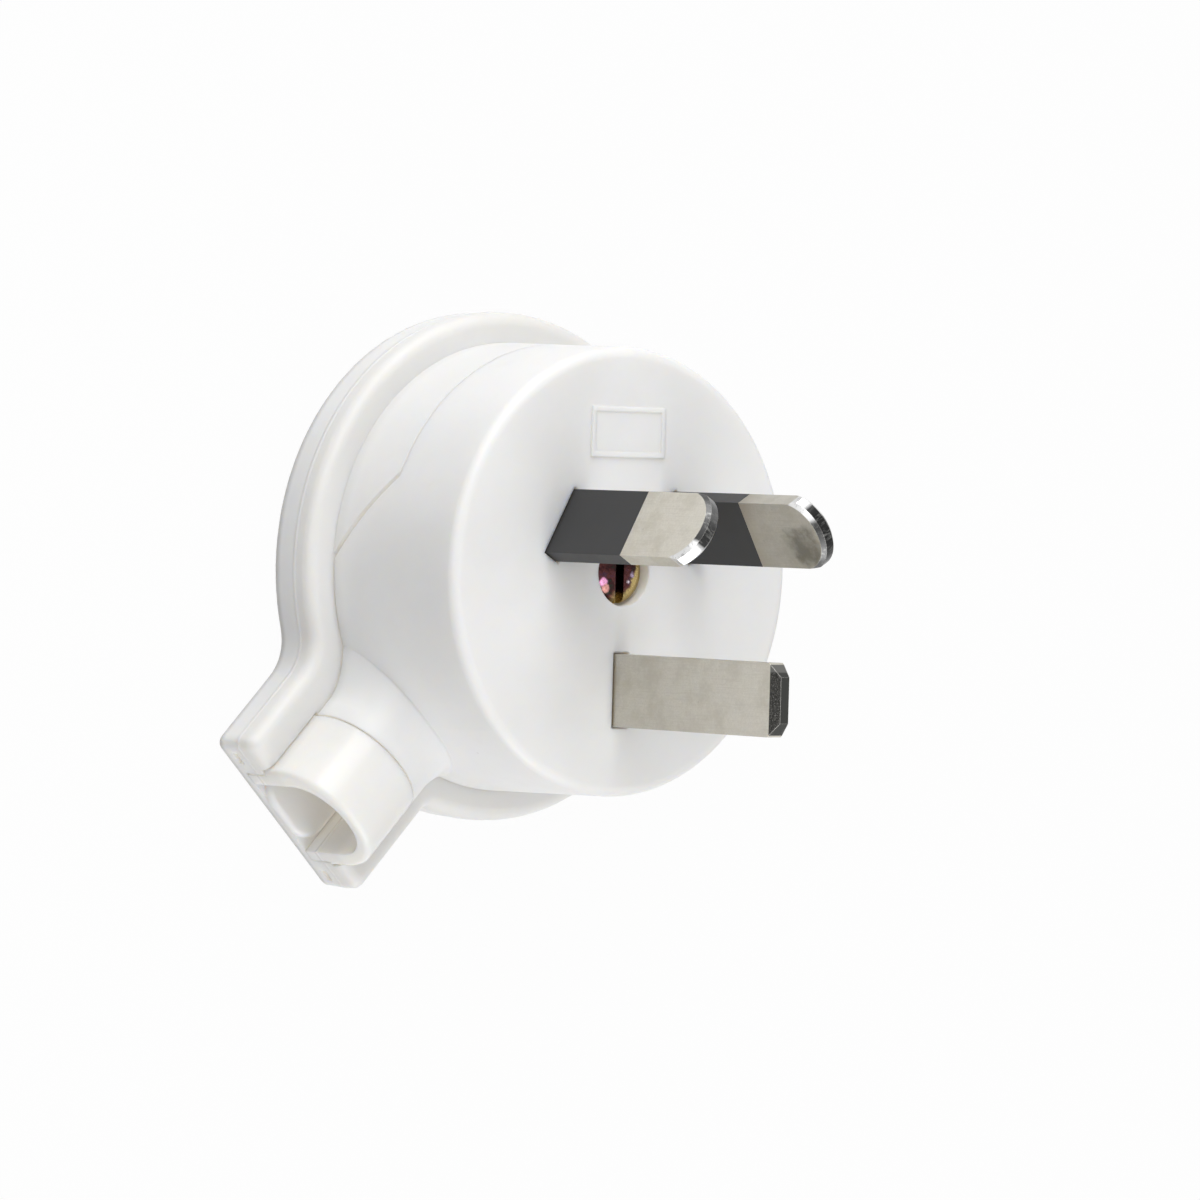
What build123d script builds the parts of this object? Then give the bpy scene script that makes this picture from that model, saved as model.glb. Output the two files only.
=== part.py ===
from build123d import *
import os
from math import radians, sin, tan

# Type I three-pin plug, side entry, lying on its flat back with the pins pointing up.
# Millimetres. Z = 0 is the flat back, +Z runs along the pins, +Y points away from the
# earth pin, and the origin is on the axis of the cover screw.
# The cord leaves at 45 degrees between -X and -Y. Whatever belongs to the cord entry is
# drawn with the cord leaving along +X and is then turned by ENTRY_ANGLE.

# Pins, on the standard pattern of this plug
PIN_WIDTH = 6.35
PIN_THICKNESS = 1.6
PIN_SPREAD = 13.7
PIN_RISE = 3.975
PIN_TILT = 30.0
EARTH_DROP = 10.31
PIN_LENGTH = 18.2
PIN_TIP_RISE = 1.9
PIN_BEVEL = 0.35
EARTH_PIN_LENGTH = 20.7
EARTH_TIP_CLIP = 1.2
EARTH_BEVEL_LENGTH = 1.05
EARTH_BEVEL_DEPTH = 0.32
SLEEVE_LENGTH = 9.4
SLEEVE_WALL = 0.35
PIN_SHOULDER_OVERHANG = 0.9
PIN_SHOULDER_DEPTH = 1.6
PIN_TAIL_WIDTH = 4.6
PIN_TAIL_DEPTH = 1.8
SLOT_CLEARANCE = 0.15

# Base: the round body that carries the pins
BODY_DEPTH = 21.0
FACE_RADIUS = 19.6
BASE_DRAFT = 1.0
BASE_WALL = 2.2
FACE_WALL = 2.4
FACE_EDGE_RADIUS = 0.9
SPIGOT_WALL = 1.4
SPIGOT_DEPTH = 5.2
SPIGOT_CLEARANCE = 0.15
BARRIER_WALL = 1.2
BARRIER_ANGLES = (90, 210, 330)
SOCKET_WALL = 1.0
PANEL_WIDTH = 8.6
PANEL_HEIGHT = 4.4
PANEL_RISE = 0.2
PANEL_BORDER = 0.45
PANEL_OFFSET = 12.2

# Rear cover: the wider rim and back, with a skirt that meets the base
RIM_RADIUS = 22.6
RIM_DEPTH = 5.3
RIM_PARTING = 3.3
RIM_DRAFT = 3.0
RIM_FRONT_RADIUS = 1.1
RIM_BACK_RADIUS = 1.0
COVER_FLOOR = 1.8
SEAM_HEIGHT = 11.7
SEAM_RAMP_START = 6.9
SEAM_GAP = 0.15
RAMP_GAP = 0.4

# Cord entry
ENTRY_ANGLE = 225.0
ENTRY_REACH = 31.4
ENTRY_WIDTH = 8.4
ENTRY_TOP = 10.9
ARCH_CROWN = 0.3
BOSS_WIDTH = 18.6
BOSS_CORNER = 1.0
BOSS_FILLET_UPPER = 4.0
BOSS_FILLET_LOWER = 0.8
SHOULDER_END = 24.3
FLARE_END = 22.6
FLARE_START = 17.2
FLARE_WIDTH = 3.4
FLARE_RISE = 0.7
FLARE_SECTIONS = 4
CLAMP_SIDE_WALL = 1.65
CLAMP_TOP_WALL = 1.1
CLAMP_LEDGE = 4.3
CLAMP_LEG_WALL = 1.1
CLAMP_CLEARANCE = 0.15
CLAMP_EDGE_RADIUS = 0.5
TONGUE_RISE = 0.7
TONGUE_GAP = 0.3
TONGUE_CORNER = 2.5
TONGUE_LIP_RADIUS = 0.5
HOOK_OVERHANG = 0.9
HOOK_LENGTH = 1.2
GRIP_RIB_HEIGHT = 0.6
GRIP_RIB_PITCH = 1.8
GRIP_RIB_COUNT = 3
POCKET_WIDTH = 1.3
POCKET_HEIGHT = 0.7
POCKET_DEPTH = 0.7

# Cover screw, its insert and its retainer
SCREW_DIAMETER = 3.5
SCREW_HEAD_DIAMETER = 5.6
SCREW_HEAD_HEIGHT = 2.2
SCREW_HEAD_EDGE_RADIUS = 0.75
SCREW_RECESS = 0.5
SCREW_END_MARGIN = 1.2
SCREW_END_CHAMFER = 0.45
SCREW_SLOT_WIDTH = 1.0
SCREW_SLOT_DEPTH = 1.1
SCREW_HOLE_CLEARANCE = 0.2
METAL_FIT = 0.05
COVER_POST_HEIGHT = 8.8
POST_WALL = 1.2
INSERT_DIAMETER = 5.4
INSERT_LENGTH = 5.6
INSERT_GROOVE = 0.35
RETAINER_THICKNESS = 0.8
RETAINER_WALL = 1.3

# Terminals
TERMINAL_WIDTH = 6.4
TERMINAL_THICKNESS = 5.2
TERMINAL_HEIGHT = 6.4
TERMINAL_CORNER = 0.5
WIRE_HOLE_DIAMETER = 2.8
WIRE_HOLE_DEPTH = 3.5
TERMINAL_SCREW_DIAMETER = 3.0
TERMINAL_SCREW_HEAD = 4.4
TERMINAL_SCREW_HEAD_HEIGHT = 1.5
TERMINAL_SCREW_STANDOFF = 0.8

# Worked out from the sizes above
ENTRY_HALF = ENTRY_WIDTH / 2
CLAMP_HALF = ENTRY_HALF + CLAMP_SIDE_WALL
CLAMP_TOP = ENTRY_TOP + CLAMP_TOP_WALL
LEG_HALF = ENTRY_HALF + CLAMP_LEG_WALL
TONGUE_TOP = COVER_FLOOR + TONGUE_RISE
BASE_FOOT = RIM_DEPTH + SEAM_GAP
BASE_WALL_FOOT = SEAM_HEIGHT + SEAM_GAP
CAVITY_TOP = BODY_DEPTH - FACE_WALL
HEAD_HOLE_RADIUS = SCREW_HEAD_DIAMETER / 2 + SCREW_HOLE_CLEARANCE
HEAD_SEAT = BODY_DEPTH - SCREW_RECESS - SCREW_HEAD_HEIGHT
POST_RADIUS = HEAD_HOLE_RADIUS + POST_WALL
POST_SPLIT = COVER_POST_HEIGHT + SEAM_GAP
PIN_SEAT = CAVITY_TOP
TERMINAL_TOP = PIN_SEAT - PIN_SHOULDER_DEPTH
BIG = 3 * RIM_RADIUS
OVERCUT = 1.0
OVERLAP = 0.1


def base_radius(height):
    """Radius of the base's outside wall, which widens towards the back."""
    return FACE_RADIUS + (BODY_DEPTH - height) * tan(radians(BASE_DRAFT))


CAVITY_RADIUS = base_radius(SEAM_HEIGHT) - BASE_WALL
HOOK_END = (CAVITY_RADIUS**2 - (LEG_HALF + HOOK_OVERHANG) ** 2) ** 0.5 - CLAMP_CLEARANCE
HOOK_START = HOOK_END - HOOK_LENGTH
CHANNEL_START = HOOK_START - CLAMP_CLEARANCE


def cylinder(radius, low, high):
    """A cylinder on the plug's axis between two heights."""
    return Pos(0, 0, low) * extrude(Circle(radius), amount=high - low)


def ring(inner, outer, low, high):
    """A plain ring on the plug's axis between two heights."""
    return cylinder(outer, low, high) - cylinder(inner, low - OVERCUT, high + OVERCUT)


def block(x, y, z):
    """A box from three (low, high) pairs."""
    size = [high - low for low, high in (x, y, z)]
    centre = [(high + low) / 2 for low, high in (x, y, z)]
    return Pos(*centre) * Box(*size)


def turned(points):
    """A solid of revolution about the Z axis from (radius, height) points."""
    outline = Polyline(*[(radius, 0, height) for radius, height in points], close=True)
    return revolve(make_face(outline), axis=Axis.Z)


def at_entry(shape):
    """Turn a shape drawn with the cord leaving along +X to the real cord direction."""
    return Rot(0, 0, ENTRY_ANGLE) * shape


def at_pin(shape, name):
    """Move a shape drawn about a pin's own axis to that pin's place, flat side turned."""
    x, y, turn = PIN_PLACES[name]
    return Pos(x, y, 0) * Rot(0, 0, turn) * shape


PIN_PLACES = {
    "active": (-PIN_SPREAD / 2, PIN_RISE, 90 - PIN_TILT),
    "neutral": (PIN_SPREAD / 2, PIN_RISE, 90 + PIN_TILT),
    "earth": (0, -EARTH_DROP, 90),
}


def seam_region(lift, ramp_gap):
    """All space behind the seam between cover and base, seen along the cord's side.

    The seam runs level round the plug, drops at 45 degrees on both flanks, and ends
    at the front of the rim on the cord's side.
    """
    high = SEAM_HEIGHT + lift
    low = RIM_DEPTH + lift
    ramp_top = SEAM_RAMP_START + ramp_gap / sin(radians(45)) - lift
    ramp_foot = ramp_top + high - low
    points = [(-BIG, -BIG), (-BIG, high), (ramp_top, high), (ramp_foot, low), (BIG, low), (BIG, -BIG)]
    side = make_face(Polyline(*[(x, 0, z) for x, z in points], close=True))
    return extrude(side, amount=BIG, both=True)


def arch_section(distance, half_width, top, bottom):
    """Section across +X of a round-topped arch with upright sides."""
    sketch = Pos(0, (top + bottom) / 2) * Rectangle(2 * half_width, top - bottom)
    sketch = fillet(sketch.vertices().group_by(Axis.Y)[-1], half_width - ARCH_CROWN / 2)
    return Plane(origin=(distance, 0, 0), x_dir=(0, 1, 0), z_dir=(1, 0, 0)) * sketch


def arch(half_width, top, start, end, bottom):
    """A straight bar along +X with a round-topped arch as its section."""
    return extrude(arch_section(start, half_width, top, bottom), amount=end - start)


def rim_outline():
    """Plan of the cover's rim: a disc with the square boss of the cord entry."""
    boss = Pos(ENTRY_REACH / 2, 0) * Rectangle(ENTRY_REACH, BOSS_WIDTH)
    end_corners = boss.vertices().group_by(Axis.X)[-1]
    boss = fillet(end_corners, BOSS_CORNER)
    outline = Circle(RIM_RADIUS) + boss
    neck = [v for v in outline.vertices() if 0 < v.X < RIM_RADIUS]
    upper = [v for v in neck if v.Y < 0]
    outline = fillet(upper, BOSS_FILLET_UPPER)
    neck = [v for v in outline.vertices() if 0 < v.X < RIM_RADIUS and v.Y > 0]
    return fillet(neck, BOSS_FILLET_LOWER)


def rim():
    """Solid rim and boss, drafted both ways from the parting line, with rounded edges."""
    outline = rim_outline()
    front = Pos(0, 0, RIM_PARTING) * extrude(outline, amount=RIM_DEPTH - RIM_PARTING, taper=RIM_DRAFT)
    back = mirror(extrude(outline, amount=RIM_PARTING, taper=RIM_DRAFT), about=Plane.XY)
    solid = front + Pos(0, 0, RIM_PARTING) * back
    front_edges = solid.faces().sort_by(Axis.Z)[-1].outer_wire().edges()
    solid = fillet(front_edges, RIM_FRONT_RADIUS)
    back_edges = solid.faces().sort_by(Axis.Z)[0].outer_wire().edges()
    return fillet(back_edges, RIM_BACK_RADIUS)


def skirt():
    """The part of the cover that stands forward of the rim, flush with the base."""
    wall = turned([
        (CAVITY_RADIUS, COVER_FLOOR),
        (base_radius(COVER_FLOOR), COVER_FLOOR),
        (base_radius(SEAM_HEIGHT), SEAM_HEIGHT),
        (CAVITY_RADIUS, SEAM_HEIGHT),
    ])
    return wall & seam_region(0, 0)


def entry_channel():
    """Space cut into the cover's boss for the cord and the clamp's legs."""
    leg_space = LEG_HALF + CLAMP_CLEARANCE
    ledge_space = CLAMP_HALF + CLAMP_CLEARANCE
    low = block((CHANNEL_START, ENTRY_REACH + OVERCUT), (-leg_space, leg_space), (COVER_FLOOR, RIM_DEPTH + OVERCUT))
    high = block(
        (SHOULDER_END - CLAMP_CLEARANCE, ENTRY_REACH + OVERCUT),
        (-ledge_space, ledge_space),
        (CLAMP_LEDGE - CLAMP_CLEARANCE, RIM_DEPTH + OVERCUT),
    )
    return low + high


def grip_rib(middle, half):
    """One sharp rib across the channel floor that bites into the cord."""
    low = TONGUE_TOP - OVERLAP
    corners = [(middle - GRIP_RIB_HEIGHT, low), (middle, TONGUE_TOP + GRIP_RIB_HEIGHT), (middle + GRIP_RIB_HEIGHT, low)]
    side = make_face(Polyline(*[(x, 0, z) for x, z in corners], close=True))
    return extrude(side, amount=half, both=True)


def entry_tongue():
    """Raised floor of the cord channel between the clamp's legs, rounded at the mouth."""
    half = ENTRY_HALF - TONGUE_GAP
    length = ENTRY_REACH - CHANNEL_START
    plan = Pos(CHANNEL_START + length / 2, 0) * Rectangle(length, 2 * half)
    plan = fillet(plan.vertices().group_by(Axis.X)[-1], TONGUE_CORNER)
    foot = COVER_FLOOR - OVERLAP
    tongue = Pos(0, 0, foot) * extrude(plan, amount=TONGUE_TOP - foot)
    lip = tongue.faces().sort_by(Axis.Z)[-1].edges().sort_by(Axis.X)[1:]
    tongue = fillet(lip, TONGUE_LIP_RADIUS)
    for index in range(GRIP_RIB_COUNT):
        tongue += grip_rib(SHOULDER_END - (index + 1) * GRIP_RIB_PITCH, half - TONGUE_LIP_RADIUS)
    return tongue


def boss_pockets():
    """Small moulded pockets in the end face of the boss, one outside each leg."""
    middle = (LEG_HALF + BOSS_WIDTH / 2) / 2
    pocket = block(
        (ENTRY_REACH - POCKET_DEPTH, ENTRY_REACH + OVERCUT),
        (middle - POCKET_WIDTH / 2, middle + POCKET_WIDTH / 2),
        (COVER_FLOOR, COVER_FLOOR + POCKET_HEIGHT),
    )
    return pocket + mirror(pocket, about=Plane.XZ)


def rear_cover():
    """Rear cover with rim, skirt, screw post and the lower half of the cord entry."""
    solid = rim() + skirt()
    solid -= cylinder(CAVITY_RADIUS, COVER_FLOOR, BODY_DEPTH)
    solid -= entry_channel()
    solid += entry_tongue()
    solid -= boss_pockets()
    solid += cylinder(POST_RADIUS, COVER_FLOOR / 2, COVER_POST_HEIGHT)
    solid -= insert_body()
    return at_entry(solid)


def insert_body():
    """Outside shape of the threaded insert, with a holding groove round its middle."""
    top = COVER_POST_HEIGHT
    low = top - INSERT_LENGTH
    radius = INSERT_DIAMETER / 2
    waist = radius - INSERT_GROOVE
    third = INSERT_LENGTH / 3
    return turned([
        (0, low), (radius, low), (radius, low + third), (waist, low + third),
        (waist, top - third), (radius, top - third), (radius, top), (0, top),
    ])


def cover_insert():
    """Brass insert moulded into the cover's post, which the cover screw pulls on."""
    low = COVER_POST_HEIGHT - INSERT_LENGTH
    return insert_body() - cylinder(SCREW_DIAMETER / 2 + METAL_FIT, low - OVERCUT, COVER_POST_HEIGHT + OVERCUT)


def cover_screw():
    """Slotted round-head screw that draws the cover to the base from the pin side."""
    low = COVER_POST_HEIGHT - INSERT_LENGTH + SCREW_END_MARGIN
    shank = cylinder(SCREW_DIAMETER / 2, low, HEAD_SEAT + OVERLAP)
    shank = chamfer(shank.edges().sort_by(Axis.Z)[0], SCREW_END_CHAMFER)
    head = cylinder(SCREW_HEAD_DIAMETER / 2, HEAD_SEAT, HEAD_SEAT + SCREW_HEAD_HEIGHT)
    head = fillet(head.edges().sort_by(Axis.Z)[-1], SCREW_HEAD_EDGE_RADIUS)
    top = HEAD_SEAT + SCREW_HEAD_HEIGHT
    slot = block(
        (-SCREW_SLOT_WIDTH / 2, SCREW_SLOT_WIDTH / 2),
        (-SCREW_HEAD_DIAMETER, SCREW_HEAD_DIAMETER),
        (top - SCREW_SLOT_DEPTH, top + OVERCUT),
    )
    return shank + head - slot


def screw_retainer():
    """Fibre washer on the shank that keeps the loosened screw in the base."""
    inner = SCREW_DIAMETER / 2 + METAL_FIT
    low = POST_SPLIT + SEAM_GAP
    return ring(inner, inner + RETAINER_WALL, low, low + RETAINER_THICKNESS)


def base_shell():
    """Cup of the base with its rounded face edge."""
    shell = turned([
        (0, BODY_DEPTH),
        (FACE_RADIUS, BODY_DEPTH),
        (base_radius(BASE_FOOT), BASE_FOOT),
        (0, BASE_FOOT),
    ])
    shell = fillet(shell.faces().sort_by(Axis.Z)[-1].edges(), FACE_EDGE_RADIUS)
    return shell - cylinder(CAVITY_RADIUS, 0, CAVITY_TOP)


def base_spigot():
    """Inner lip of the base that reaches down inside the cover's skirt."""
    outer = CAVITY_RADIUS - SPIGOT_CLEARANCE
    lip = ring(outer - SPIGOT_WALL, outer, SEAM_HEIGHT - SPIGOT_DEPTH, CAVITY_TOP + OVERLAP)
    lip += ring(outer - SPIGOT_WALL, CAVITY_RADIUS + OVERLAP, BASE_WALL_FOOT, CAVITY_TOP + OVERLAP)
    return lip & block((-BIG, SEAM_RAMP_START), (-BIG, BIG), (0, BODY_DEPTH))


def shoulder_section(distance):
    """Outer section of the shoulder, which flares towards the wall of the base."""
    flare = max(0, (FLARE_END - distance) / (FLARE_END - FLARE_START)) ** 2
    return arch_section(distance, CLAMP_HALF + FLARE_WIDTH * flare, CLAMP_TOP + FLARE_RISE * flare, 0)


def shoulder():
    """Flared shoulder of the base over the cord, before the tunnel is cut."""
    step = (FLARE_END - FLARE_START) / FLARE_SECTIONS
    sections = [shoulder_section(FLARE_START + index * step) for index in range(FLARE_SECTIONS + 1)]
    bar = loft(sections) + arch(CLAMP_HALF, CLAMP_TOP, FLARE_END, SHOULDER_END, 0)
    bar &= block((0, BIG), (-BIG, BIG), (BASE_FOOT, BODY_DEPTH))
    return bar - cylinder(CAVITY_RADIUS, 0, CAVITY_TOP)


def pin_socket():
    """Raised collar behind the face round one pin's root, before its slot is cut."""
    half_width = PIN_WIDTH / 2 + PIN_SHOULDER_OVERHANG + SOCKET_WALL + SLOT_CLEARANCE
    half_thickness = PIN_THICKNESS / 2 + SOCKET_WALL + SLOT_CLEARANCE
    depth = PIN_SHOULDER_DEPTH - SEAM_GAP
    return block(
        (-half_width, half_width), (-half_thickness, half_thickness), (CAVITY_TOP - depth, CAVITY_TOP + OVERLAP)
    )


def pin_slot():
    """Slot for one pin: the blade's own size through the face, wider for its shoulder."""
    half_width = PIN_WIDTH / 2 + SLOT_CLEARANCE
    half_thickness = PIN_THICKNESS / 2 + SLOT_CLEARANCE
    shoulder_half = half_width + PIN_SHOULDER_OVERHANG
    blade = block(
        (-half_width, half_width), (-half_thickness, half_thickness), (CAVITY_TOP - OVERCUT, BODY_DEPTH + OVERCUT)
    )
    seat = block((-shoulder_half, shoulder_half), (-half_thickness, half_thickness), (0, CAVITY_TOP))
    return blade + seat


def barriers():
    """Thin walls behind the face that part the three terminals."""
    half = BARRIER_WALL / 2
    wall = block((0, CAVITY_RADIUS + OVERLAP), (-half, half), (BASE_WALL_FOOT, CAVITY_TOP + OVERLAP))
    walls = Rot(0, 0, BARRIER_ANGLES[0]) * wall
    for angle in BARRIER_ANGLES[1:]:
        walls += Rot(0, 0, angle) * wall
    return walls


def face_panel():
    """Bare raised panel on the pin face, with a slightly higher border."""
    plate = Rectangle(PANEL_WIDTH, PANEL_HEIGHT)
    border = plate - Rectangle(PANEL_WIDTH - 2 * PANEL_BORDER, PANEL_HEIGHT - 2 * PANEL_BORDER)
    low = Pos(0, PANEL_OFFSET, BODY_DEPTH - FACE_WALL / 2)
    return low * extrude(plate, amount=FACE_WALL / 2 + PANEL_RISE / 2) + low * extrude(
        border, amount=FACE_WALL / 2 + PANEL_RISE
    )


def base():
    """The base: cup, spigot, shoulder, pin sockets, barriers and screw post."""
    entry_side = base_shell() + shoulder()
    skirt_space = seam_region(SEAM_GAP, RAMP_GAP) - cylinder(CAVITY_RADIUS - SPIGOT_CLEARANCE, -BIG, BIG)
    entry_side -= skirt_space
    entry_side += base_spigot()
    entry_side -= arch(ENTRY_HALF, ENTRY_TOP, 0, ENTRY_REACH, 0) & block(
        (CAVITY_RADIUS / 2, BIG), (-BIG, BIG), (0, BODY_DEPTH)
    )
    solid = at_entry(entry_side) + cylinder(POST_RADIUS, POST_SPLIT, CAVITY_TOP + OVERLAP) + barriers()
    for name in PIN_PLACES:
        solid += at_pin(pin_socket(), name)
    for name in PIN_PLACES:
        solid -= at_pin(pin_slot(), name)
    solid += face_panel()
    solid -= cylinder(HEAD_HOLE_RADIUS, HEAD_SEAT, BODY_DEPTH + OVERCUT)
    solid -= cylinder(SCREW_DIAMETER / 2 + SCREW_HOLE_CLEARANCE, 0, BODY_DEPTH)
    retainer_radius = SCREW_DIAMETER / 2 + RETAINER_WALL + SCREW_HOLE_CLEARANCE
    solid -= cylinder(retainer_radius, 0, POST_SPLIT + RETAINER_THICKNESS + 2 * SEAM_GAP)
    return solid


def clamp_leg():
    """One leg of the cord clamp: a foot in the boss slot that ends in a hook inside."""
    plate = block((HOOK_START, ENTRY_REACH), (ENTRY_HALF, LEG_HALF), (COVER_FLOOR, RIM_DEPTH - SEAM_GAP))
    hook = block((HOOK_START, HOOK_END), (ENTRY_HALF, LEG_HALF + HOOK_OVERHANG), (COVER_FLOOR, RIM_DEPTH - SEAM_GAP))
    return plate + hook


def cord_clamp():
    """Arched clamp over the cord, with two legs that hook behind the boss."""
    start = SHOULDER_END + CLAMP_CLEARANCE
    solid = arch(CLAMP_HALF, CLAMP_TOP, start, ENTRY_REACH, CLAMP_LEDGE)
    rim_edges = solid.faces().sort_by(Axis.X)[-1].edges().sort_by(Axis.Z)[1:]
    solid = fillet(rim_edges, CLAMP_EDGE_RADIUS)
    solid -= arch(ENTRY_HALF, ENTRY_TOP, 0, ENTRY_REACH + OVERCUT, 0)
    leg = clamp_leg()
    solid += leg + mirror(leg, about=Plane.XZ)
    return at_entry(solid)


def sleeved_pin():
    """Active or neutral pin: thinner under its sleeve, rounded and bevelled at its tip."""
    half = PIN_WIDTH / 2
    straight = BODY_DEPTH + PIN_LENGTH - PIN_TIP_RISE
    tip = BODY_DEPTH + PIN_LENGTH
    sleeve_top = BODY_DEPTH + SLEEVE_LENGTH
    edge = Polyline((-half, straight), (-half, sleeve_top), (half, sleeve_top), (half, straight))
    crown = ThreePointArc((half, straight), (0, tip), (-half, straight))
    metal = pin_plate(make_face(edge + crown), PIN_THICKNESS)
    metal = chamfer(tip_edges(metal, straight), PIN_BEVEL)
    core = block(
        (-half + SLEEVE_WALL, half - SLEEVE_WALL),
        (-PIN_THICKNESS / 2 + SLEEVE_WALL, PIN_THICKNESS / 2 - SLEEVE_WALL),
        (PIN_SEAT, sleeve_top),
    )
    return metal + core + pin_root()


def earth_pin():
    """Earth pin: bare metal to the face, longer, with clipped and bevelled corners."""
    half = PIN_WIDTH / 2
    top = BODY_DEPTH + EARTH_PIN_LENGTH
    clip = top - EARTH_TIP_CLIP
    outline = Polyline(
        (-half, PIN_SEAT), (half, PIN_SEAT), (half, clip), (half - EARTH_TIP_CLIP, top),
        (EARTH_TIP_CLIP - half, top), (-half, clip), close=True,
    )
    metal = pin_plate(make_face(outline), PIN_THICKNESS)
    half_thick = PIN_THICKNESS / 2
    thin = half_thick - EARTH_BEVEL_DEPTH
    bevel = top - EARTH_BEVEL_LENGTH
    side = Polyline(
        (-half_thick, PIN_SEAT), (half_thick, PIN_SEAT), (half_thick, bevel), (thin, top),
        (-thin, top), (-half_thick, bevel), close=True,
    )
    metal &= extrude(Plane.YZ * make_face(side), amount=half, both=True)
    return at_pin(metal + pin_root(), "earth")


def pin_plate(outline, thickness):
    """A flat plate standing in the XZ plane, from an outline drawn in XY."""
    return extrude(Plane.XZ * outline, amount=thickness / 2, both=True)


def tip_edges(plate, height):
    """Edges round a pin's tip on its two broad sides, above a height."""
    edges = []
    for edge in plate.edges():
        along_thickness = abs(edge.center().Y) < PIN_THICKNESS / 4
        if edge.bounding_box().max.Z > height + OVERLAP and not along_thickness:
            edges.append(edge)
    return edges


def pin_root():
    """Shoulder that seats behind the face, and the tail that goes into the terminal."""
    shoulder_half = PIN_WIDTH / 2 + PIN_SHOULDER_OVERHANG
    seat = block(
        (-shoulder_half, shoulder_half), (-PIN_THICKNESS / 2, PIN_THICKNESS / 2), (TERMINAL_TOP, PIN_SEAT)
    )
    tail = block(
        (-PIN_TAIL_WIDTH / 2, PIN_TAIL_WIDTH / 2),
        (-PIN_THICKNESS / 2, PIN_THICKNESS / 2),
        (TERMINAL_TOP - PIN_TAIL_DEPTH, TERMINAL_TOP),
    )
    return seat + tail


def pin_sleeve():
    """Insulating sleeve, flush with the bare metal, from behind the face outwards."""
    half = PIN_WIDTH / 2
    half_thick = PIN_THICKNESS / 2
    top = BODY_DEPTH + SLEEVE_LENGTH
    outside = block((-half, half), (-half_thick, half_thick), (PIN_SEAT, top))
    core = block(
        (-half + SLEEVE_WALL, half - SLEEVE_WALL),
        (-half_thick + SLEEVE_WALL, half_thick - SLEEVE_WALL),
        (PIN_SEAT - OVERCUT, top + OVERCUT),
    )
    return outside - core


def terminal():
    """Brass tunnel terminal under a pin: tail socket, wire hole and clamp screw hole."""
    low = TERMINAL_TOP - TERMINAL_HEIGHT
    body = block(
        (-TERMINAL_WIDTH / 2, TERMINAL_WIDTH / 2),
        (-TERMINAL_THICKNESS / 2, TERMINAL_THICKNESS / 2),
        (low, TERMINAL_TOP),
    )
    body = fillet(body.edges().filter_by(Axis.Z), TERMINAL_CORNER)
    body -= block(
        (-PIN_TAIL_WIDTH / 2, PIN_TAIL_WIDTH / 2),
        (-PIN_THICKNESS / 2, PIN_THICKNESS / 2),
        (TERMINAL_TOP - PIN_TAIL_DEPTH, TERMINAL_TOP + OVERCUT),
    )
    wire_height = TERMINAL_TOP - WIRE_HOLE_DEPTH
    body -= Pos(0, 0, wire_height) * Rot(0, 90, 0) * Cylinder(WIRE_HOLE_DIAMETER / 2, 2 * TERMINAL_WIDTH)
    return body - cylinder(TERMINAL_SCREW_DIAMETER / 2 + METAL_FIT, low - OVERCUT, wire_height)


def terminal_screw():
    """Slotted screw that clamps the wire, reached from the cover side."""
    block_low = TERMINAL_TOP - TERMINAL_HEIGHT
    head_top = block_low - TERMINAL_SCREW_STANDOFF
    head_low = head_top - TERMINAL_SCREW_HEAD_HEIGHT
    tip = TERMINAL_TOP - WIRE_HOLE_DEPTH
    screw = cylinder(TERMINAL_SCREW_DIAMETER / 2, head_low, tip)
    screw += cylinder(TERMINAL_SCREW_HEAD / 2, head_low, head_top)
    slot_half = SCREW_SLOT_WIDTH / 2
    return screw - block(
        (-TERMINAL_SCREW_HEAD, TERMINAL_SCREW_HEAD),
        (-slot_half, slot_half),
        (head_low - OVERCUT, head_low + TERMINAL_SCREW_HEAD_HEIGHT / 2),
    )


def nodes():
    """Every sub-part by its node name, in the plug's frame."""
    parts = {
        "base": base(),
        "rear_cover": rear_cover(),
        "cord_clamp": cord_clamp(),
        "cover_screw": cover_screw(),
        "cover_insert": cover_insert(),
        "screw_retainer": screw_retainer(),
        "earth_pin": earth_pin(),
    }
    for name in ("active", "neutral"):
        parts[name + "_pin"] = at_pin(sleeved_pin(), name)
        parts[name + "_sleeve"] = at_pin(pin_sleeve(), name)
    for name in PIN_PLACES:
        parts[name + "_terminal"] = at_pin(terminal(), name)
        parts[name + "_terminal_screw"] = at_pin(terminal_screw(), name)
    return parts


os.makedirs("parts", exist_ok=True)
for node, shape in nodes().items():
    export_step(shape, f"parts/{node}.step")
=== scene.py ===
"""Looks of the plug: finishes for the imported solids, light and camera.

Everything is in metres in the row frame: the flat back lies on Z = 0, the pins point
along +Z, and the cord leaves between -X and -Y. The camera is the photograph's. The
finishes read places in millimetres, and take bump heights, edge radii and the reach of
shelter in metres.
"""
import math

import bpy
from mathutils import Matrix, Vector


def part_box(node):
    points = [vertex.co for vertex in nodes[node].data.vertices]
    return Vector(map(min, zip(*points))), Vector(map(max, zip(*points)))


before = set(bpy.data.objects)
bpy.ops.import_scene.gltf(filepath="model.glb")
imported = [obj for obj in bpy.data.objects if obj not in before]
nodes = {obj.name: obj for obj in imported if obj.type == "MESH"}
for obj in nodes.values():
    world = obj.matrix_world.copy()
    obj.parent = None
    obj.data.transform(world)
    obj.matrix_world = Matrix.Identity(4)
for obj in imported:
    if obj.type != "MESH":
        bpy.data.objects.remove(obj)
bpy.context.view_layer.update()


def top_of(node):
    """Height of a node's top, in millimetres."""
    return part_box(node)[1].z * 1000


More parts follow.
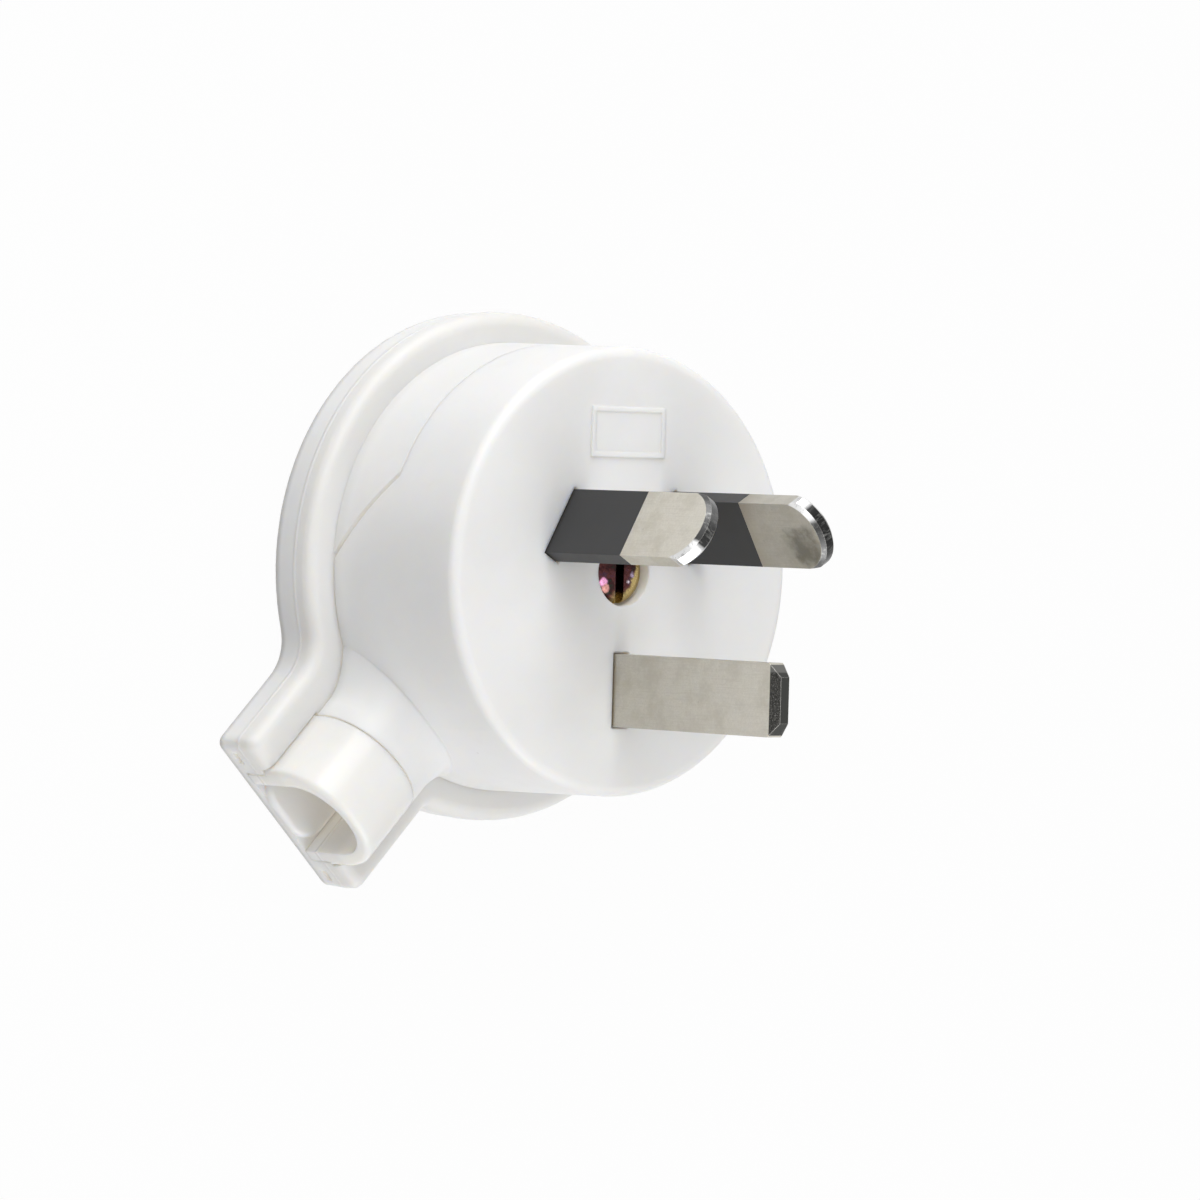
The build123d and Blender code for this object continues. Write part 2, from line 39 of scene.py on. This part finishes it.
# Camera of the photograph, found from the standard pin pattern.
CAMERA_PLACE = (-0.418216, 0.009162, 0.478626)
CAMERA_TURN = (-2.542, -42.1868, 2.1817)
CAMERA_LENS = 213.62
CAMERA_SENSOR = 36.0
CAMERA_RANGE = (0.01, 20.0)

# Soft boxes: bearing from +X and height over the table in degrees, then watts.
LAMP_DISTANCE = 0.5
LAMP_SIDE = 0.30
LAMP_AIM = (0, 0, 0.016)
LAMPS = {
    "pin_side": (90, 12, 1.04),
    "strip": (112.5, 38, 1.02),
    "over_cover": (157.5, 38, 0.54),
    "entry_side": (247.5, 38, 0.31),
    "earth_side": (270, 12, 1.05),
    "fill": (292.5, 38, 0.26),
    "high": (288, 65, 0.27),
    "far": (22.5, 38, 0.20),
}

# Strength of the surroundings as light, and as what the camera and reflections see.
WORLD_LIGHT = 0.22
WORLD_SEEN = 1.0
FLOOR_HALF = 3.0
FLOOR_LEVEL = -0.0002
FLOOR_GREY = 0.55
FLOOR_WHITE = 0.97

# Moulded plastic: the parting line's height in millimetres, and tints: dust, specks, and painted shade in the
# seams, deep in the passage, on the back edge and its brink, and on the flank above the parting line.
PARTING_HEIGHT = 3.3
DUST_AND_SEAM_SHADE = (0.74, 0.71, 0.66)
SPECK_TINT = (0.40, 0.38, 0.35)
PAINTED_PASSAGE_SHADE = (0.80, 0.745, 0.64)
PAINTED_BACK_SHADE = (0.56, 0.555, 0.54)
PAINTED_BRINK_SHADE = (0.40, 0.395, 0.385)
PAINTED_FLANK_SHADE = (0.66, 0.645, 0.61)
SEAM_REACH = 0.0005
PASSAGE_REACH = 0.012

# Painted glow, emission that stands in for light coming through thin plastic: its colour, and strengths in a
# seam and in the passage.
PAINTED_GLOW_COLOUR = (0.80, 0.775, 0.725, 1)
SEAM_GLOW = 0.105
PASSAGE_GLOW = 0.22

# Pins, in millimetres: bearing of the width in degrees, middle in plan.
PINS = {
    "active": (60, (-6.85, 3.975)),
    "neutral": (120, (6.85, 3.975)),
    "earth": (90, (0.0, -10.31)),
}

# Ends of the pins. The live pins end in an arc over their whole width, with bevelled edges.
PIN_WIDTH = 6.35
TIP_RISE = 1.9
TIP_BEVEL = 0.35
TIP_RADIUS = (PIN_WIDTH ** 2 / 4 + TIP_RISE ** 2) / (2 * TIP_RISE)
TIP_CENTRE_HEIGHT = top_of("active_pin") - TIP_RADIUS
TIP_SHOULDERS = (0.9, 1.2)
TIP_BLUR = 0.03
EARTH_TIP_DEPTH = 1.05
EARTH_TIP_START = top_of("earth_pin") - EARTH_TIP_DEPTH
EARTH_TIP_BLUR = 0.04

# Greys of the round tips, from their lower to their upper corner: the bevels, then the end. They are painted
# highlights and painted dark reflections on the sheared metal.
TIP_SPAN = 6.4
TIP_PAINTED_LIGHT_GREYS = {
    "active": (
        [(0.0, 0.75), (0.25, 0.60), (0.31, 0.03), (0.58, 0.035), (0.70, 0.075), (1.0, 0.085)],
        [(0.0, 0.75), (0.22, 0.60), (0.28, 0.025), (0.58, 0.04), (0.70, 0.09), (1.0, 0.11)],
    ),
    "neutral": (
        [(0.0, 0.12), (0.30, 0.09), (0.62, 0.06), (0.70, 0.09), (0.76, 0.70), (1.0, 0.80)],
        [(0.0, 0.10), (0.10, 0.025), (0.50, 0.018), (0.88, 0.025), (0.96, 0.50), (1.0, 0.70)],
    ),
}
BRIGHT_ZONE = 0.3
MARK_ON_BRIGHT = (0.25, 0.25, 0.24)
MARK_ON_DARK = (0.04, 0.04, 0.04)

# Nickel, before each pin is scaled by its painted light level, and what stains it.
NICKEL_PALE = (0.64, 0.615, 0.55)
NICKEL_WARM = (0.54, 0.515, 0.455)
NICKEL_BROWN = (0.47, 0.44, 0.375)
SPOT_TINT = (0.20, 0.17, 0.13)
# Worn edges, painted brighter as a highlight too, and grime with painted shade where the pins meet other
# parts.
WORN_AND_HIGHLIT_EDGE = (0.80, 0.78, 0.74)
GRIME_AND_SHADE = (0.14, 0.11, 0.07)

# The neutral pin's ragged painted dark reflection: place across and above the back, tint.
REFLECTION_ACROSS = -1.2
REFLECTION_HEIGHT = 36.4
PAINTED_DARK_REFLECTION = (0.16, 0.15, 0.12)
RUBBED_TINT = (0.36, 0.315, 0.24)

# Sheared end of the earth pin: its flat end, its upper corner lightened with painted light, and the bevels'
# rough grey.
EARTH_END = (0.045, 0.046, 0.043)
PAINTED_EARTH_CORNER_LIGHT = (0.16, 0.158, 0.15)
EARTH_BEVELS = [
    (0.42, (0.03, 0.03, 0.028)),
    (0.58, (0.08, 0.078, 0.073)),
    (0.72, (0.30, 0.29, 0.28)),
]

# Insulation of the live pins, with a painted highlight along its edges.
SLEEVE_DARK = (0.031, 0.031, 0.032)
SLEEVE_LIGHT = (0.038, 0.038, 0.039)
SLEEVE_EDGE_HIGHLIGHT = (0.09, 0.09, 0.09)

# Cover screw: colours of its film, the gold where the film is thin, and spots of film colour with painted
# highlights in them, each as its place from the screw's axis in millimetres, its size and its tint.
SCREW_FILM = [
    (0.36, (0.020, 0.030, 0.022)),
    (0.46, (0.040, 0.014, 0.016)),
    (0.54, (0.085, 0.030, 0.028)),
    (0.60, (0.050, 0.022, 0.040)),
    (0.70, (0.110, 0.070, 0.050)),
]
SCREW_GOLD = (0.42, 0.32, 0.13)
SCREW_SPOTS_AND_HIGHLIGHTS = (
    ((-1.9, -0.8), 0.36, (0.80, 0.36, 0.60)),
    ((-1.6, -1.45), 0.30, (0.62, 0.30, 0.27)),
    ((1.05, -0.85), 0.24, (0.66, 0.60, 0.66)),
    ((1.5, -0.35), 0.34, (0.34, 0.27, 0.38)),
)


# Node graph helpers

class Graph:
    """Short calls for building one node tree."""

    def __init__(self, tree, output="ShaderNodeOutputMaterial"):
        self.tree = tree
        self.tree.nodes.clear()
        self.output = self.add(output)

    def add(self, kind, **values):
        node = self.tree.nodes.new(kind)
        for key, value in values.items():
            setattr(node, key, value)
        return node

    def link(self, source, target):
        self.tree.links.new(source, target)

    def put(self, target, value):
        """Sets a socket to a constant, or links another node's output to it."""
        if hasattr(value, "is_output"):
            self.link(value, target)
        else:
            target.default_value = value

    def math(self, operation, a, b=None, c=None, clamp=False):
        node = self.add("ShaderNodeMath", operation=operation, use_clamp=clamp)
        for socket, value in zip(node.inputs, (a, b, c)):
            if value is not None:
                self.put(socket, value)
        return node.outputs[0]

    def times(self, a, b):
        return self.math("MULTIPLY", a, b)

    def less(self, a, b):
        return self.math("SUBTRACT", a, b)

    def flip(self, mask):
        """1 where a mask is 0, and 0 where it is 1."""
        return self.less(1.0, mask)

    def squares(self, a, b):
        """The sum of two squares."""
        return self.math("ADD", self.times(a, a), self.times(b, b))

    def radius(self, a, b):
        """Distance from a point that lies a and b away."""
        return self.math("SQRT", self.squares(a, b))

    def place(self, scale=(1, 1, 1), turn=0.0, middle=(0.0, 0.0)):
        """Millimetres in the row frame, seen from a point in plan, turned about Z and scaled."""
        texture = self.add("ShaderNodeTexCoord")
        mapping = self.add("ShaderNodeMapping", vector_type="POINT")
        back = Matrix.Rotation(-math.radians(turn), 3, "Z")
        offset = back @ Vector((middle[0], middle[1], 0.0))
        mapping.inputs["Scale"].default_value = (1000, 1000, 1000)
        mapping.inputs["Rotation"].default_value = (0, 0, -math.radians(turn))
        mapping.inputs["Location"].default_value = -offset
        self.link(texture.outputs["Object"], mapping.inputs["Vector"])
        stretch = self.add("ShaderNodeVectorMath", operation="MULTIPLY")
        stretch.inputs[1].default_value = scale
        self.link(mapping.outputs["Vector"], stretch.inputs[0])
        return stretch.outputs[0]

    def split(self, vector):
        """A vector's three parts."""
        node = self.add("ShaderNodeSeparateXYZ")
        self.link(vector, node.inputs[0])
        return node.outputs

    def noise(self, vector, scale, detail=3.0, rough=0.5):
        node = self.add("ShaderNodeTexNoise")
        self.link(vector, node.inputs["Vector"])
        node.inputs["Scale"].default_value = scale
        node.inputs["Detail"].default_value = detail
        node.inputs["Roughness"].default_value = rough
        return node.outputs["Fac"]

    def dots(self, vector, scale, full, none):
        """Scattered dots: 1 up to one distance from their middles, 0 from another on."""
        node = self.add("ShaderNodeTexVoronoi")
        self.link(vector, node.inputs["Vector"])
        node.inputs["Scale"].default_value = scale
        return self.ramp(node.outputs["Distance"], [(full, 1.0), (none, 0.0)])

    def ramp(self, value, stops):
        """Maps a value through stops of (position, grey or colour)."""
        node = self.add("ShaderNodeValToRGB")
        self.put(node.inputs[0], value)
        elements = node.color_ramp.elements
        while len(elements) < len(stops):
            elements.new(0.5)
        for element, (position, colour) in zip(elements, stops):
            element.position = position
            grey = isinstance(colour, (int, float))
            element.color = (colour, colour, colour, 1) if grey else (*colour, 1)
        return node.outputs[0]

    def spread(self, value, low, high):
        """Spreads the middle of a noise between two greys."""
        return self.ramp(value, [(0.3, low), (0.7, high)])

    def step(self, value, low, high):
        """0 below low, 1 above high, smooth between."""
        node = self.add("ShaderNodeMapRange", interpolation_type="SMOOTHSTEP")
        self.put(node.inputs["Value"], value)
        node.inputs["From Min"].default_value = low
        node.inputs["From Max"].default_value = high
        return node.outputs["Result"]

    def blend(self, amount, a, b):
        node = self.add("ShaderNodeMix", data_type="RGBA")
        self.put(node.inputs[0], amount)
        for socket, value in ((node.inputs[6], a), (node.inputs[7], b)):
            self.put(socket, value if hasattr(value, "is_output") else (*value, 1))
        return node.outputs[2]

    def grey_blend(self, amount, a, b):
        node = self.add("ShaderNodeMix", data_type="FLOAT")
        for socket, value in zip((node.inputs[0], node.inputs[2], node.inputs[3]), (amount, a, b)):
            self.put(socket, value)
        return node.outputs[0]

    def stain(self, colour, *stains):
        """Lays stains over a colour, each as (where it is, how strong, its tint)."""
        for mask, share, tint in stains:
            colour = self.blend(self.times(mask, share), colour, tint)
        return colour

    def bump(self, height, distance, strength=1.0, under=None):
        node = self.add("ShaderNodeBump")
        self.put(node.inputs["Height"], height)
        node.inputs["Distance"].default_value = distance
        self.put(node.inputs["Strength"], strength)
        if under is not None:
            self.link(under, node.inputs["Normal"])
        return node.outputs[0]

    def soft_edges(self, radius):
        """Normal rounded over sharp edges."""
        node = self.add("ShaderNodeBevel", samples=4)
        node.inputs["Radius"].default_value = radius
        return node.outputs[0]

    def edges(self, radius):
        """1 on sharp edges, 0 on the flat."""
        geometry = self.add("ShaderNodeNewGeometry")
        dot = self.add("ShaderNodeVectorMath", operation="DOT_PRODUCT")
        self.link(self.soft_edges(radius), dot.inputs[0])
        self.link(geometry.outputs["Normal"], dot.inputs[1])
        return self.step(self.flip(dot.outputs["Value"]), 0.02, 0.16)

    def shelter(self, reach, low, high):
        """0 in the open, 1 deep in a seam or hole of about this reach."""
        node = self.add("ShaderNodeAmbientOcclusion", samples=10)
        node.inputs["Distance"].default_value = reach
        closed = self.math("SUBTRACT", 1.0, node.outputs["AO"], clamp=True)
        return self.step(closed, low, high)

    def seen_plainly(self):
        """1 for what the camera, a reflection or glass looks at, 0 for light on things."""
        path = self.add("ShaderNodeLightPath")
        seen = self.math("MAXIMUM", path.outputs["Is Camera Ray"], path.outputs["Is Glossy Ray"])
        return self.math("MAXIMUM", seen, path.outputs["Is Transmission Ray"])

    def finish(self, shader):
        """Ends the graph in a shader."""
        self.link(shader.outputs[0], self.output.inputs["Surface"])

    def finish_mixed(self, amount, first, second):
        """Ends the graph in a mix of two shaders."""
        mix = self.add("ShaderNodeMixShader")
        self.link(amount, mix.inputs[0])
        self.link(first.outputs[0], mix.inputs[1])
        self.link(second.outputs[0], mix.inputs[2])
        self.finish(mix)

    def surface(self, colour, roughness, normal, **constants):
        """Ends the graph in a solid surface, and returns its shader."""
        shader = self.add("ShaderNodeBsdfPrincipled")
        self.put(shader.inputs["Base Color"], colour)
        self.put(shader.inputs["Roughness"], roughness)
        for name, value in constants.items():
            shader.inputs[name.replace("_", " ")].default_value = value
        self.link(normal, shader.inputs["Normal"])
        self.finish(shader)
        return shader


def new_finish(name):
    """The graph of a new material."""
    material = bpy.data.materials.new(name)
    material.use_nodes = True
    return Graph(material.node_tree)


def dimmed(colour, share):
    """A colour at a share of its brightness."""
    return tuple(part * share for part in colour)


def dress(material_name, *names):
    """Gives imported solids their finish."""
    for name in names:
        mesh = nodes[name].data
        mesh.materials.clear()
        mesh.materials.append(bpy.data.materials[material_name])


# Finishes

def flank_shade_mask(g, parting):
    """The band just above the parting line, darkened with painted shade."""
    fade = g.flip(g.step(parting, 2.2, 3.4))
    return g.times(g.step(parting, 0.0, 0.35), fade)


def plastic_relief(g, where, parting):
    """Normal of moulded plastic: soft edges, slow waves, fine ripple, the parting ridge."""
    waves = g.noise(where, scale=0.9, detail=2.0, rough=0.5)
    ripple = g.noise(where, scale=14.0, detail=3.0, rough=0.6)
    ridge = g.flip(g.step(g.math("ABSOLUTE", parting), 0.0, 0.30))
    normal = g.bump(waves, 0.00004, 0.05, g.soft_edges(0.00022))
    normal = g.bump(ripple, 0.000006, 0.15, normal)
    return g.bump(ridge, 0.00010, 0.8, normal)


def moulded_plastic(name, light, shade, glow, rough):
    """Glossy moulded plastic: mottled, with smudges, specks, dust and painted shade in its seams, painted
    warm shade in the passage, painted shade on its back edge and flank, and a painted glow.
    """
    g = new_finish(name)
    where = g.place()
    height = g.split(where)[2]
    parting = g.less(height, PARTING_HEIGHT)
    mottle = g.noise(where, scale=0.12, detail=4.0, rough=0.55)
    smudge = g.step(g.noise(where, scale=0.30, detail=5.0, rough=0.62), 0.60, 0.78)
    specks = g.times(g.dots(where, 0.17, full=0.010, none=0.026), g.step(mottle, 0.48, 0.56))
    passage = g.shelter(PASSAGE_REACH, 0.60, 0.95)
    seam = g.shelter(SEAM_REACH, 0.30, 0.80)
    colour = g.stain(
        g.blend(g.step(mottle, 0.35, 0.68), shade, light),
        (smudge, 0.16, DUST_AND_SEAM_SHADE),
        # painted warm shade deep in the cord passage
        (passage, 0.70, PAINTED_PASSAGE_SHADE),
        # dust, and painted shade where occlusion finds a seam
        (seam, 0.60, DUST_AND_SEAM_SHADE),
        (specks, 0.34, SPECK_TINT),
        # painted shade on the back edge, and a darker painted shade on its brink
        (g.flip(g.step(height, 0.3, 1.5)), 0.50, PAINTED_BACK_SHADE),
        (g.flip(g.step(height, 0.3, 1.4)), 0.65, PAINTED_BRINK_SHADE),
        # painted shade on the flank just above the parting line
        (flank_shade_mask(g, parting), 0.30, PAINTED_FLANK_SHADE),
    )
    roughness = g.spread(g.noise(where, scale=0.5, detail=3.0, rough=0.6), *rough)
    shader = g.surface(
        colour, roughness, plastic_relief(g, where, parting),
        Specular_IOR_Level=0.40, Emission_Color=PAINTED_GLOW_COLOUR,
        Subsurface_Weight=glow, Subsurface_Radius=(0.0014, 0.0012, 0.0009), Subsurface_Scale=1.0,
    )
    # Painted glow: emission in the seams and deep in the passage, standing in for light through the thin
    # plastic.
    through = g.grey_blend(seam, g.times(passage, PASSAGE_GLOW), SEAM_GLOW)
    g.put(shader.inputs["Emission Strength"], through)
    bpy.data.materials[name].cycles.emission_sampling = "NONE"


def inner_metal(name, colour, dark, rough):
    """Metal of the pieces inside: turned or cast, with fine marks."""
    g = new_finish(name)
    stain = g.noise(g.place(), scale=0.8, detail=4.0, rough=0.6)
    tint = g.blend(g.step(stain, 0.35, 0.7), colour, dark)
    marks = g.noise(g.place((1, 1, 12)), scale=1.2, detail=3.0, rough=0.6)
    g.surface(tint, g.spread(stain, rough - 0.06, rough + 0.1), g.bump(marks, 0.00002, 0.4), Metallic=1.0)


def tip_mask(g, name, across, height):
    """Where a pin's end is sheared and bevelled, from 0 to 1."""
    if name == "earth":
        return g.step(height, EARTH_TIP_START - EARTH_TIP_BLUR, EARTH_TIP_START + EARTH_TIP_BLUR)
    rise = g.less(height, TIP_CENTRE_HEIGHT)
    edge = TIP_RADIUS - TIP_BEVEL
    bevelled = g.step(g.radius(across, rise), edge - TIP_BLUR, edge + TIP_BLUR)
    return g.times(bevelled, g.step(rise, *TIP_SHOULDERS))


def earth_cut(g, where, across, through):
    """Colour of the earth pin's end: dark, with rough grey bevels and an upper corner lightened with painted
    light.
    """
    bevels = g.ramp(g.noise(where, scale=9.0, detail=3.0, rough=0.8), EARTH_BEVELS)
    side = g.step(g.math("ABSOLUTE", through), 0.40, 0.50)
    corner = g.step(across, 2.30, 2.45)
    return g.stain(g.blend(side, EARTH_END, bevels), (corner, 0.8, PAINTED_EARTH_CORNER_LIGHT))


def round_cut(g, name, across, through):
    """Colour of a live pin's end: painted highlights and painted dark reflections from corner to corner,
    crossed by shear marks.
    """
    along = g.math("MULTIPLY_ADD", across, 1 / TIP_SPAN, 0.5)
    bevel, end = (g.ramp(along, zones) for zones in TIP_PAINTED_LIGHT_GREYS[name])
    side = g.step(g.math("ABSOLUTE", through), 0.42, 0.47)
    zone = g.blend(side, end, bevel)
    shear = g.noise(g.place((2.6, 0.5, 2.6), *PINS[name]), scale=1.2, detail=4.0, rough=0.7)
    # Shear marks take one tint over the painted highlights and another over the rest.
    bright = g.math("LESS_THAN", BRIGHT_ZONE, zone)
    mark = g.blend(bright, MARK_ON_BRIGHT, MARK_ON_DARK)
    return g.stain(zone, (g.step(shear, 0.50, 0.66), 0.45, mark))


def neutral_stain_and_reflection(g, across, height, cloud):
    """The neutral pin's ragged painted dark reflection, and the rubbed brown beside its sleeve."""
    rise = g.times(g.less(height, REFLECTION_HEIGHT), 0.8)
    near = g.less(g.squares(g.less(across, REFLECTION_ACROSS), rise), 8.0)
    dark_reflection = g.flip(g.step(g.math("MULTIPLY_ADD", cloud, 16.0, near), -1.0, 4.5))
    rubbed = g.flip(g.step(g.math("MULTIPLY_ADD", cloud, 3.0, height), 31.6, 34.2))
    return (dark_reflection, 0.75, PAINTED_DARK_REFLECTION), (rubbed, 0.45, RUBBED_TINT)


def pin_metal(name, painted_brightness, tip_roughness):
    """Nickel-plated blade at its own painted light level: grain, faint lines along it, warm stains, a sheared
    tip.
    """
    g = new_finish("nickel_" + name)
    where = g.place((1, 1, 1), *PINS[name])
    across, through, height = g.split(where)
    grain = g.noise(where, scale=7.0, detail=5.0, rough=0.75)
    lines = g.noise(g.place((6, 6, 0.22), *PINS[name]), scale=1.6, detail=4.0, rough=0.65)
    cloud = g.noise(where, scale=0.42, detail=5.0, rough=0.62)
    pale, warm, brown = (dimmed(colour, painted_brightness) for colour in (NICKEL_PALE, NICKEL_WARM, NICKEL_BROWN))
    tint = g.stain(
        g.blend(g.step(grain, 0.25, 0.78), warm, pale),
        (g.step(lines, 0.45, 0.70), 0.35, brown),
        (g.step(cloud, 0.44, 0.66), 0.55, brown),
    )
    if name == "neutral":
        tint = g.stain(tint, *neutral_stain_and_reflection(g, across, height, cloud))
    tint = g.stain(tint, (g.dots(where, 0.55, full=0.03, none=0.075), 0.45, SPOT_TINT))
    tip = tip_mask(g, name, across, height)
    if name == "earth":
        cut = earth_cut(g, where, across, through)
    else:
        cut = round_cut(g, name, across, through)
    # Worn edges with a painted highlight, and grime with painted shade where occlusion finds a corner.
    tint = g.stain(
        g.blend(tip, tint, cut),
        (g.edges(0.00009), 0.40, WORN_AND_HIGHLIT_EDGE),
        (g.shelter(0.0007, 0.35, 0.85), 0.70, GRIME_AND_SHADE),
    )
    normal = g.bump(lines, 0.000010, 0.4, g.soft_edges(0.00008))
    normal = g.bump(grain, 0.000012, g.grey_blend(tip, 0.55, 1.0), normal)
    roughness = g.grey_blend(tip, g.spread(cloud, 0.30, 0.40), tip_roughness)
    g.surface(tint, roughness, normal, Metallic=1.0)


def sleeve_plastic():
    """Satin dark grey insulation with a fine grain and a painted highlight along its edges."""
    g = new_finish("pin_sleeve_satin")
    where = g.place()
    patch = g.noise(where, scale=0.35, detail=3.0, rough=0.5)
    colour = g.stain(g.blend(patch, SLEEVE_DARK, SLEEVE_LIGHT), (g.edges(0.00012), 0.30, SLEEVE_EDGE_HIGHLIGHT))
    grain = g.noise(where, scale=8.0, detail=4.0, rough=0.6)
    normal = g.bump(grain, 0.000008, 0.5, g.soft_edges(0.00010))
    g.surface(colour, g.spread(patch, 0.42, 0.52), normal, Specular_IOR_Level=0.35)


def screw_finish():
    """Passivated zinc: dark violet and brown film, with pink, lilac and gold where it is thin, and painted
    highlights in the pink and lilac spots.
    """
    g = new_finish("cover_screw_passivated")
    where = g.place()
    x, y = g.split(where)[:2]
    film = g.noise(where, scale=0.9, detail=4.0, rough=0.6)
    uneven = g.less(film, 0.5)
    ragged = g.math("MULTIPLY_ADD", uneven, 1.6, g.radius(x, y))
    lower_right = g.step(g.less(x, g.times(y, 0.5)), -0.2, 1.2)
    gold = g.times(g.step(ragged, 1.65, 2.05), lower_right)
    colour = g.stain(g.ramp(film, SCREW_FILM), (gold, 0.85, SCREW_GOLD))
    for (across, up), size, tint in SCREW_SPOTS_AND_HIGHLIGHTS:
        near = g.radius(g.less(x, across), g.less(y, up))
        ring = g.math("MULTIPLY_ADD", uneven, 1.2, near)
        spot = g.flip(g.step(ring, size * 0.4, size * 1.2))
        colour = g.stain(colour, (spot, 0.9, tint))
    grain = g.noise(where, scale=6.0, detail=4.0, rough=0.65)
    normal = g.bump(grain, 0.00003, 0.6, g.soft_edges(0.00015))
    g.surface(colour, g.spread(grain, 0.14, 0.32), normal, Metallic=1.0)


def fibre_board():
    """Brown fibre washer with matted threads."""
    g = new_finish("retainer_fibre")
    threads = g.noise(g.place((1, 1, 8)), scale=3.0, detail=5.0, rough=0.7)
    colour = g.blend(threads, (0.10, 0.035, 0.02), (0.22, 0.09, 0.05))
    g.surface(colour, 0.8, g.bump(g.noise(g.place(), scale=6.0), 0.00004, 0.6))


# Surroundings, light and camera

def add_floor():
    """Plain white table under the plug, which is also the backdrop."""
    mesh = bpy.data.meshes.new("floor")
    signs = ((-1, -1), (1, -1), (1, 1), (-1, 1))
    corners = [(x * FLOOR_HALF, y * FLOOR_HALF, FLOOR_LEVEL) for x, y in signs]
    mesh.from_pydata(corners, [], [(0, 1, 2, 3)])
    floor = bpy.data.objects.new("floor", mesh)
    bpy.context.scene.collection.objects.link(floor)
    g = new_finish("white_table")
    diffuse = g.add("ShaderNodeBsdfDiffuse")
    diffuse.inputs["Color"].default_value = (FLOOR_GREY, FLOOR_GREY, FLOOR_GREY, 1)
    white = g.add("ShaderNodeEmission")
    white.inputs["Strength"].default_value = 1.0
    g.finish_mixed(g.times(g.seen_plainly(), FLOOR_WHITE), diffuse, white)
    mesh.materials.append(bpy.data.materials["white_table"])


def set_world():
    """Even white surroundings, which light the plug more gently than they look."""
    world = bpy.data.worlds.new("studio")
    bpy.context.scene.world = world
    world.use_nodes = True
    g = Graph(world.node_tree, "ShaderNodeOutputWorld")
    shades = []
    for strength in (WORLD_LIGHT, WORLD_SEEN):
        shade = g.add("ShaderNodeBackground")
        shade.inputs["Color"].default_value = (1, 1, 1, 1)
        shade.inputs["Strength"].default_value = strength
        shades.append(shade)
    g.finish_mixed(g.seen_plainly(), *shades)


def add_lamps():
    """Soft boxes round the plug, each facing its middle."""
    for name, (bearing, height, power) in LAMPS.items():
        data = bpy.data.lights.new(name, "AREA")
        data.shape = "SQUARE"
        data.size = LAMP_SIDE
        data.energy = power
        lamp = bpy.data.objects.new(name, data)
        turn, tilt = math.radians(bearing), math.radians(height)
        level = math.cos(tilt)
        away = Vector((math.cos(turn) * level, math.sin(turn) * level, math.sin(tilt)))
        lamp.location = Vector(LAMP_AIM) + away * LAMP_DISTANCE
        lamp.rotation_euler = away.to_track_quat("Z", "Y").to_euler()
        bpy.context.scene.collection.objects.link(lamp)


def add_camera():
    """The photograph's camera."""
    data = bpy.data.cameras.new("photo_camera")
    data.sensor_fit = "HORIZONTAL"
    data.sensor_width = CAMERA_SENSOR
    data.lens = CAMERA_LENS
    data.clip_start, data.clip_end = CAMERA_RANGE
    camera = bpy.data.objects.new("photo_camera", data)
    camera.location = CAMERA_PLACE
    camera.rotation_euler = [math.radians(angle) for angle in CAMERA_TURN]
    bpy.context.scene.collection.objects.link(camera)
    bpy.context.scene.camera = camera


moulded_plastic(
    "gloss_white_plastic", light=(0.83, 0.83, 0.83), shade=(0.81, 0.81, 0.805),
    glow=0.8, rough=(0.34, 0.42),
)
dress("gloss_white_plastic", "base", "rear_cover")
moulded_plastic(
    "clamp_plastic", light=(0.84, 0.835, 0.825), shade=(0.82, 0.815, 0.80),
    glow=1.0, rough=(0.225, 0.262),
)
dress("clamp_plastic", "cord_clamp")
# Each pin's painted light level: the near pin brighter, the far pin darker.
for pin, pin_painted_brightness, end_roughness in (("active", 1.10, 0.30), ("neutral", 0.89, 0.30), ("earth", 0.97, 0.45)):
    pin_metal(pin, pin_painted_brightness, end_roughness)
    dress("nickel_" + pin, pin + "_pin")
sleeve_plastic()
dress("pin_sleeve_satin", "active_sleeve", "neutral_sleeve")
screw_finish()
dress("cover_screw_passivated", "cover_screw")
inner_metal("terminal_brass", colour=(0.78, 0.62, 0.30), dark=(0.55, 0.42, 0.22), rough=0.30)
dress("terminal_brass", "cover_insert", "active_terminal", "neutral_terminal", "earth_terminal")
inner_metal("zinc_steel", colour=(0.62, 0.62, 0.60), dark=(0.45, 0.45, 0.44), rough=0.34)
dress("zinc_steel", "active_terminal_screw", "neutral_terminal_screw", "earth_terminal_screw")
fibre_board()
dress("retainer_fibre", "screw_retainer")

add_floor()
set_world()
add_lamps()
add_camera()
bpy.context.scene.view_settings.view_transform = "Standard"
